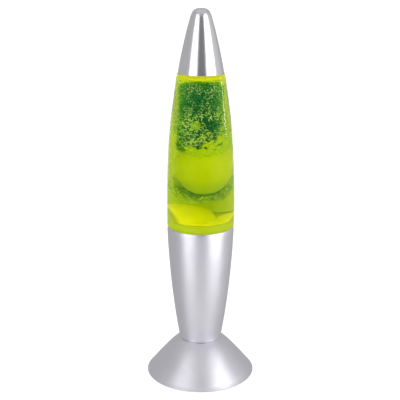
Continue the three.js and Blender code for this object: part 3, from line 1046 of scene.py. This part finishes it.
def make_crown():
    low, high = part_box("crown_cap")

    def flute(r, z, angle):
        depth = max(0.0, min(1.0, (high.z - 2.2 * MM - z) / (4 * MM)))
        return r + 0.4 * MM * depth * math.cos(FLUTES * angle), z

    turned_piece("crown_cap", finishes["tinplate"], sides=12 * FLUTES, sharp=50, step=0.6 * MM, shape=flute)
    turned_piece("crown_liner", finishes["seal"])


def make_bottle_section():
    wall = make_bottle()
    make_pool(wall)
    make_liquid(wall)
    make_core()
    make_low_core()
    make_top_layer(wall)
    make_blob()
    make_bead()
    make_crumbs()
    make_low_crumbs()
    make_blob_crumbs()
    make_coil()
    make_crown()


# ---- Foot, cup and cap ----

INLET_TILT = math.radians(50)  # brings the cord inlet's axis upright
INLET_HOLE = 5.6 * MM  # radius of the grommet's hole in the foot
SINK_WIDE, SINK_NARROW = 3.4 * MM, 1.8 * MM  # radii of the cover's holes for the screws
SCREW_HEAD_CROSS = (3.4 * MM, 0.7 * MM, 1.1 * MM)  # length, width and depth of the recess in a screw's head


def make_shells():
    foot = turned_piece("base_foot", finishes["satin"], sides=192, sharp=60, rounding=0.3 * MM)
    points, _, place = cad_points("cord_grommet", INLET_TILT)
    middle = (min(p.z for p in points) + max(p.z for p in points)) / 2
    cut(foot, rod_mesh(INLET_HOLE, middle - 6 * MM, middle + 6 * MM, place, 64))
    turned_piece("cord_grommet", finishes["rubber"], tilt=INLET_TILT, sides=64)
    turned_piece("base_cup", finishes["satin"], sides=192, rounding=0.3 * MM)
    turned_piece("cap_shell", finishes["gloss"], sides=192, rounding=0.25 * MM)


def make_underside():
    cover = turned_piece("bottom_cover", finishes["plastic"], sides=192)
    low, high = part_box("bottom_cover")
    for node in ("cover_screw_1", "cover_screw_2"):
        a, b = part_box(node)
        x = (a.x + b.x) / 2
        under, over = low.z - 1 * MM, high.z + 4 * MM
        sink = [(0, under), (SINK_WIDE, under), (SINK_WIDE, low.z + 0.3 * MM)]
        sink += [(SINK_NARROW, low.z + 1.9 * MM), (SINK_NARROW, over), (0, over)]
        cut(cover, revolved("sink", sink, 48, place=Matrix.Translation((x, 0, 0))))
        screw = turned_piece(node, finishes["steel"], sides=48)
        cut(screw, *cross_bars(Vector((x, 0, a.z))))
    for node in ("rubber_pad_1", "rubber_pad_2", "rubber_pad_3", "rubber_pad_4"):
        turned_piece(node, finishes["rubber"], sides=48, sharp=30)


def cross_bars(centre):
    """The two bars of the cross-shaped recess in a screw's head, which faces down."""
    length, width, depth = SCREW_HEAD_CROSS
    bars = []
    for size in ((length, width), (width, length)):
        build = bmesh.new()
        bmesh.ops.create_cube(build, size=1)
        for vertex in build.verts:
            p = vertex.co
            vertex.co = centre + Vector((p.x * size[0], p.y * size[1], p.z * depth * 2))
        bars.append(bpy.data.meshes.new("bar"))
        build.to_mesh(bars[-1])
        build.free()
    return bars


# ---- Lampholder and bulb ----

E14_PITCH = 2.822 * MM
HOLDER_PITCH = 2 * MM


def thread(pitch, depth, bottom, top):
    """A right-handed thread cut into the outline between two heights."""

    def shape(r, z, angle):
        fade = max(0.0, min(1.0, (z - bottom) / (0.4 * pitch), (top - z) / (0.4 * pitch)))
        wave = 0.5 - 0.5 * math.cos(angle - TURN * z / pitch)
        return r - depth * wave * fade, z

    return shape


def stepped(outline, step):
    """The outline with no length over step, so that a thread can shape it."""
    line = []
    for a, b in zip(outline, outline[1:] + outline[:1]):
        count = max(1, math.ceil(math.dist(a, b) / step))
        line += [(a[0] + (b[0] - a[0]) * i / count, a[1] + (b[1] - a[1]) * i / count) for i in range(count)]
    return line


def threaded_piece(node, material, pitch, depth, above, below):
    """A fine turned surface with a thread that starts above its lower end and stops below its upper end."""
    low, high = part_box(node)
    outline, place = outline_of(node)
    line = stepped(refined(outline, 40, 0.15 * MM, 0.6 * MM), pitch / 10)
    shape = thread(pitch, depth, low.z + above, high.z - below)
    mesh = revolved(f"{node}_fine", line, 64, shape, place)
    return new_piece(f"{node}_fine", mesh, body_of(node), finishes[material], [node])


def make_holder():
    threaded_piece("lampholder_skirt", "phenolic", HOLDER_PITCH, 0.5 * MM, 1 * MM, 3 * MM)
    threaded_piece("lampholder_thread_sleeve", "brass", E14_PITCH, 0.6 * MM, 0, 1 * MM)
    turned_piece("lampholder_dome", finishes["phenolic"], sides=96)
    turned_piece("cord_gland", finishes["plastic"], sides=64)
    core = turned_piece("lampholder_core", finishes["ceramic"], sides=96, along=(1, 0))
    for node in ("terminal_screw_1", "terminal_screw_2"):
        a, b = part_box(node)
        middle = (a + b) / 2
        place = Matrix.Translation((middle.x, middle.y, 0))
        cut(core, rod_mesh(1.5 * MM, a.z + 1 * MM, b.z + 0.6 * MM, place))
        turned_piece(node, finishes["steel"], sides=48)
    for node in ("ring_nut_upper", "ring_nut_lower"):
        turned_piece(node, finishes["plastic"], sides=192, shape=grips)
    for node, material in (("mounting_bracket", "steel"), ("lampholder_centre_contact", "brass")):
        keep_cad_node(node, finishes[material])


def grips(r, z, angle):
    """The grip teeth on a ring nut's edge."""
    if r > 16 * MM:
        r -= 0.45 * MM * (1 + math.tanh(4 * math.cos(12 * angle)))
    return r, z


def keep_cad_node(node, material):
    """A CAD node whose shape is right: it gets its finish and lightly rounded edges."""
    kept = frame["nodes"][node]
    kept.data.materials.clear()
    kept.data.materials.append(material)
    bevel = kept.modifiers.new("edges", "BEVEL")
    bevel.width = 0.12 * MM
    bevel.segments = 2
    bevel.limit_method = "ANGLE"


def make_bulb():
    """The reflector bulb: silvered but for its frosted front, which faces up."""
    threaded_piece("bulb_screw_shell", "bulb_cap", E14_PITCH, 0.7 * MM, 0.6 * MM, 4 * MM)
    turned_piece("bulb_centre_contact", finishes["bulb_cap"], sides=64)
    turned_piece("bulb_insulator", finishes["vitrite"], sides=64)
    turned_piece("bulb_stem", finishes["stem_glass"], sides=48)
    envelope = turned_piece("bulb_envelope", finishes["silvering"], sides=128)
    envelope.data.materials.append(finishes["frost"])
    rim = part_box("bulb_envelope")[1].z - 11 * MM
    for face in envelope.data.polygons:
        face.material_index = int(face.center.z > rim)
    make_filament()
    make_lead_wires()


FILAMENT_COILS = 30
FILAMENT_STEPS = 360  # points in the whole filament
FILAMENT_R = 0.28 * MM  # of a coil


def make_filament():
    """A fine coiled wire that bows forward between its ends."""
    low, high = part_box("bulb_filament")
    middle = (low.z + high.z) / 2
    points = []
    for share in spread(0, 1, FILAMENT_STEPS):
        turn = TURN * FILAMENT_COILS * share
        x = low.x + 0.3 * MM + (high.x - low.x - 0.6 * MM) * share
        y = 1.2 * MM * math.sin(math.pi * share)
        points.append(Vector((x, y + FILAMENT_R * math.cos(turn), middle + FILAMENT_R * math.sin(turn))))
    mesh = tube_mesh("bulb_filament_fine", points, 0.06 * MM, 6)
    new_piece("bulb_filament_fine", mesh, "bulb", finishes["tungsten"], ["bulb_filament"])


def make_lead_wires():
    for node in ("bulb_lead_wire_1", "bulb_lead_wire_2"):
        a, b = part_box(node)
        side = 1 if a.x > 0 else -1
        inner, outer = sorted((abs(a.x), abs(b.x)))
        path = [
            Vector((side * (inner + (outer - inner) * share**2), 0, a.z + (b.z - a.z) * share))
            for share in spread(0.02, 0.98, 12)
        ]
        mesh = tube_mesh(f"{node}_fine", path, 0.28 * MM, 10)
        new_piece(f"{node}_fine", mesh, "bulb", finishes["bulb_cap"], [node])


make_finishes()
make_stage()
make_shells()
make_underside()
make_holder()
make_bulb()
make_bottle_section()
